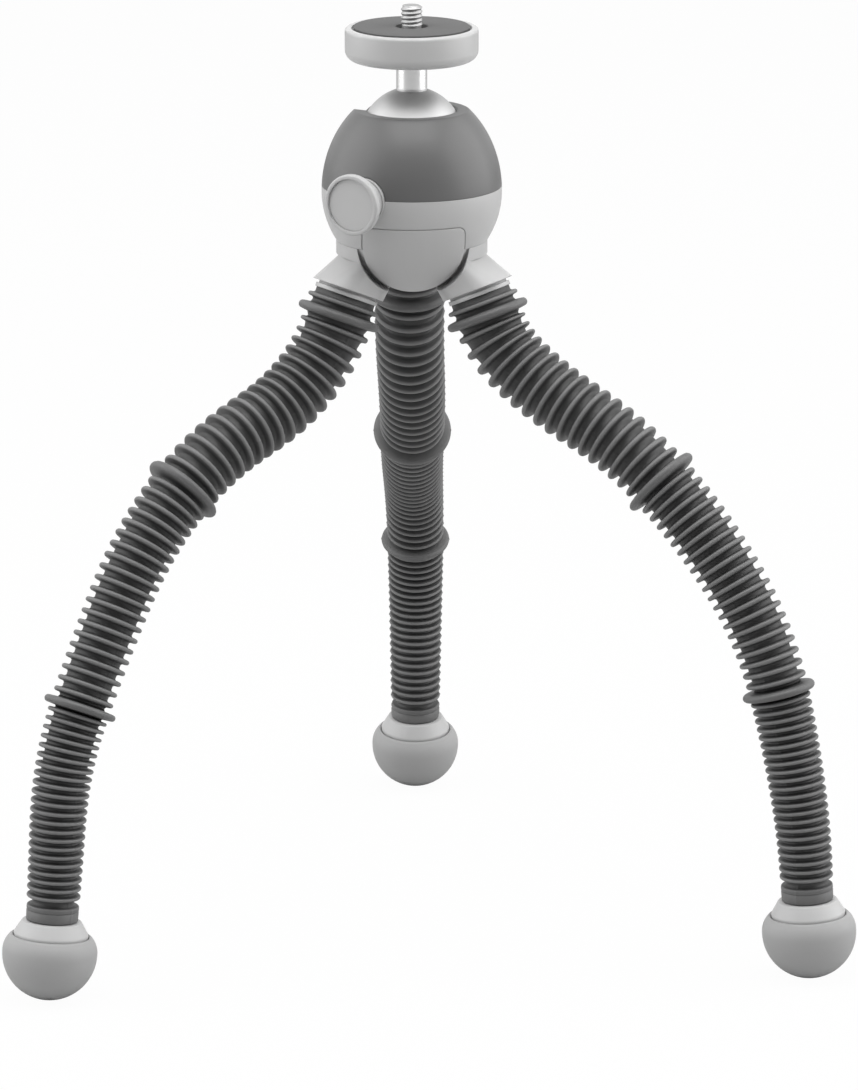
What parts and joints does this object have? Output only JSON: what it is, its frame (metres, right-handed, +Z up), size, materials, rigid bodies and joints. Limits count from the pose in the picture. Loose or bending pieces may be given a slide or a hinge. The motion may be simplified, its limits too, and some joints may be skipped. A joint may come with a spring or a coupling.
{
  "type": "flexible leg tripod",
  "caption": "Tabletop camera tripod with bendable ribbed legs, round rubber feet and a ball head with a lock knob, a tilt notch and a round camera platform",
  "frame": {"origin": "on the floor, in the middle of the box round the tripod as it stands", "axes": "+Z up, -Y to the front, where the front cover and the lock knob are seen, +X to the right as seen from the front"},
  "size_m": [0.253, 0.2424, 0.2819],
  "materials": {
    "cap_plastic": "satin",
    "light_plastic": "satin",
    "platform_metal": "satin",
    "ball_metal": "satin",
    "core_metal": "drawn",
    "screw_steel": "plated",
    "pad_rubber": "matt",
    "leg_rubber": "matt",
    "foot_rubber": "matt"
  },
  "bodies": {
    "hub": {"upper_cap": "cap_plastic", "lower_housing": "light_plastic", "housing_screws": "screw_steel", "front_cover": "light_plastic", "seat_spring": "screw_steel", "leg_hub": "light_plastic", "hub_bolt": "screw_steel", "hub_washer": "screw_steel", "base_cap": "cap_plastic", "leg_rear_root_sleeve": "leg_rubber", "leg_rear_root_core": "core_metal", "leg_left_root_sleeve": "leg_rubber", "leg_left_root_core": "core_metal", "leg_right_root_sleeve": "leg_rubber", "leg_right_root_core": "core_metal"},
    "ball_cup": {"ball_seat": "cap_plastic"},
    "platform": {"ball": "ball_metal", "platform_disc": "platform_metal", "platform_pad": "pad_rubber", "camera_screw": "screw_steel"},
    "clamp": {"clamp_shoe": "cap_plastic"},
    "lock_knob": {"knob": "light_plastic", "knob_inlay": "light_plastic", "knob_stud": "screw_steel"},
    "leg_rear_upper": {"leg_rear_hip_bend": "leg_rubber", "leg_rear_upper_sleeve": "leg_rubber", "leg_rear_upper_core": "core_metal"},
    "leg_rear_middle": {"leg_rear_knee_bend": "leg_rubber", "leg_rear_middle_sleeve": "leg_rubber", "leg_rear_middle_core": "core_metal"},
    "leg_rear_lower": {"leg_rear_ankle_bend": "leg_rubber", "leg_rear_lower_sleeve": "leg_rubber", "leg_rear_lower_core": "core_metal", "leg_rear_foot_collar": "light_plastic", "leg_rear_foot": "foot_rubber"},
    "leg_left_upper": {"leg_left_hip_bend": "leg_rubber", "leg_left_upper_sleeve": "leg_rubber", "leg_left_upper_core": "core_metal"},
    "leg_left_middle": {"leg_left_knee_bend": "leg_rubber", "leg_left_middle_sleeve": "leg_rubber", "leg_left_middle_core": "core_metal"},
    "leg_left_lower": {"leg_left_ankle_bend": "leg_rubber", "leg_left_lower_sleeve": "leg_rubber", "leg_left_lower_core": "core_metal", "leg_left_foot_collar": "light_plastic", "leg_left_foot": "foot_rubber"},
    "leg_right_upper": {"leg_right_hip_bend": "leg_rubber", "leg_right_upper_sleeve": "leg_rubber", "leg_right_upper_core": "core_metal"},
    "leg_right_middle": {"leg_right_knee_bend": "leg_rubber", "leg_right_middle_sleeve": "leg_rubber", "leg_right_middle_core": "core_metal"},
    "leg_right_lower": {"leg_right_ankle_bend": "leg_rubber", "leg_right_lower_sleeve": "leg_rubber", "leg_right_lower_core": "core_metal", "leg_right_foot_collar": "light_plastic", "leg_right_foot": "foot_rubber"}
  },
  "joints": [
    {"name": "ball_pan", "type": "hinge", "parent": "hub", "child": "ball_cup", "pos_m": [-0.00379, -0.02929, 0.24172], "axis": [0, 0, 1], "range_deg": [0, 360]},
    {"name": "ball_tilt", "type": "hinge", "parent": "ball_cup", "child": "platform", "pos_m": [-0.00379, -0.02929, 0.24172], "axis": [-0.5373, -0.8434, 0], "range_deg": [-36, 75]},
    {"name": "lock_knob_turn", "type": "hinge", "parent": "hub", "child": "lock_knob", "pos_m": [-0.02261, -0.05772, 0.22732], "axis": [-0.5519, -0.8339, 0], "range_deg": [0, 360]},
    {"name": "clamp_shoe_slide", "type": "slide", "parent": "hub", "child": "clamp", "axis": [-0.5519, -0.8339, 0], "range_m": [0, 0.001]},
    {"name": "leg_rear_hip_bend_joint", "type": "hinge", "parent": "hub", "child": "leg_rear_upper", "pos_m": [-0.0037, 0.00063, 0.17922], "axis": [0.9996, -0.0297, 0], "range_deg": [-20, 45], "deforming": ["leg_rear_hip_bend"]},
    {"name": "leg_rear_knee_bend_joint", "type": "hinge", "parent": "leg_rear_upper", "child": "leg_rear_middle", "pos_m": [-0.00161, 0.05098, 0.12854], "axis": [-0.9997, 0.0244, 0], "range_deg": [-40, 40], "deforming": ["leg_rear_knee_bend"]},
    {"name": "leg_rear_ankle_bend_joint", "type": "hinge", "parent": "leg_rear_middle", "child": "leg_rear_lower", "pos_m": [0.00064, 0.09707, 0.0792], "axis": [-0.0396, -0.9466, -0.3201], "range_deg": [-40, 40], "deforming": ["leg_rear_ankle_bend"]},
    {"name": "leg_left_hip_bend_joint", "type": "hinge", "parent": "hub", "child": "leg_left_upper", "pos_m": [-0.03077, -0.04503, 0.17983], "axis": [-0.5349, 0.8449, 0], "range_deg": [-20, 45], "deforming": ["leg_left_hip_bend"]},
    {"name": "leg_left_knee_bend_joint", "type": "hinge", "parent": "leg_left_upper", "child": "leg_left_middle", "pos_m": [-0.07832, -0.07824, 0.13867], "axis": [0.5808, -0.814, 0], "range_deg": [-40, 40], "deforming": ["leg_left_knee_bend"]},
    {"name": "leg_left_ankle_bend_joint", "type": "hinge", "parent": "leg_left_middle", "child": "leg_left_lower", "pos_m": [-0.10516, -0.09989, 0.07906], "axis": [0.6839, 0.6284, -0.3707], "range_deg": [-40, 40], "deforming": ["leg_left_ankle_bend"]},
    {"name": "leg_right_hip_bend_joint", "type": "hinge", "parent": "hub", "child": "leg_right_upper", "pos_m": [0.02395, -0.04527, 0.1803], "axis": [-0.4934, -0.8698, 0], "range_deg": [-20, 45], "deforming": ["leg_right_hip_bend"]},
    {"name": "leg_right_knee_bend_joint", "type": "hinge", "parent": "leg_right_upper", "child": "leg_right_middle", "pos_m": [0.0752, -0.07296, 0.13883], "axis": [0.4661, 0.8847, 0], "range_deg": [-40, 40], "deforming": ["leg_right_knee_bend"]},
    {"name": "leg_right_ankle_bend_joint", "type": "hinge", "parent": "leg_right_middle", "child": "leg_right_lower", "pos_m": [0.1046, -0.08892, 0.07936], "axis": [-0.849, 0.4713, -0.239], "range_deg": [-40, 40], "deforming": ["leg_right_ankle_bend"]}
  ],
  "couplings": [
    {"joint": "clamp_shoe_slide", "follows": "lock_knob_turn", "m_per_rad": 0.00015915}
  ]
}
